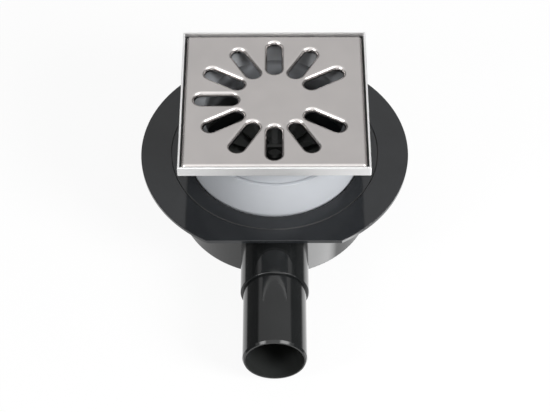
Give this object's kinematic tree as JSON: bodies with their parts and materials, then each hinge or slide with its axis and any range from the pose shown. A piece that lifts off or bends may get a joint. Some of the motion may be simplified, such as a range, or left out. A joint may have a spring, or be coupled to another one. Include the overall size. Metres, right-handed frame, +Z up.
{
  "type": "shower drain",
  "caption": "Shower floor drain: square slotted steel grate in a frame on a raising neck, over a sealing flange, a round bowl with a water trap and a side outlet.",
  "frame": {"origin": "middle of the bowl's flat underside, on the drain's axis", "axes": "+Z up along the drain's axis, -Y along the outlet spigot, the square frame's sides along X and Y"},
  "size_m": [0.22, 0.2984, 0.1262],
  "materials": {
    "grate_steel": "fine brushed",
    "frame_steel": "satin",
    "grey_plastic": "satin",
    "black_plastic": "satin",
    "black_gloss_plastic": "gloss",
    "trap_plastic": "satin",
    "seal_rubber": "matt"
  },
  "bodies": {
    "drain": {"bowl": "black_gloss_plastic", "outlet_spigot": "black_gloss_plastic", "outlet_seal": "seal_rubber", "sealing_flange": "black_plastic", "body_seal": "seal_rubber", "neck_seal": "seal_rubber", "clamp_ring": "black_plastic", "trap_insert": "trap_plastic", "trap_seal": "seal_rubber", "trap_cup": "trap_plastic", "hair_strainer": "trap_plastic", "strainer_grip": "trap_plastic"},
    "neck": {"raising_neck": "grey_plastic", "collar_seal": "seal_rubber"},
    "head": {"frame_collar": "grey_plastic", "grate_frame": "frame_steel", "grate": "grate_steel"}
  },
  "joints": [
    {"name": "neck_turn", "type": "hinge", "parent": "drain", "child": "neck", "pos_m": [0, 0, 0.05], "axis": [0, 0, 1], "continuous": true},
    {"name": "head_height", "type": "slide", "parent": "neck", "child": "head", "axis": [0, 0, 1], "range_m": [-0.017, 0.008]}
  ]
}
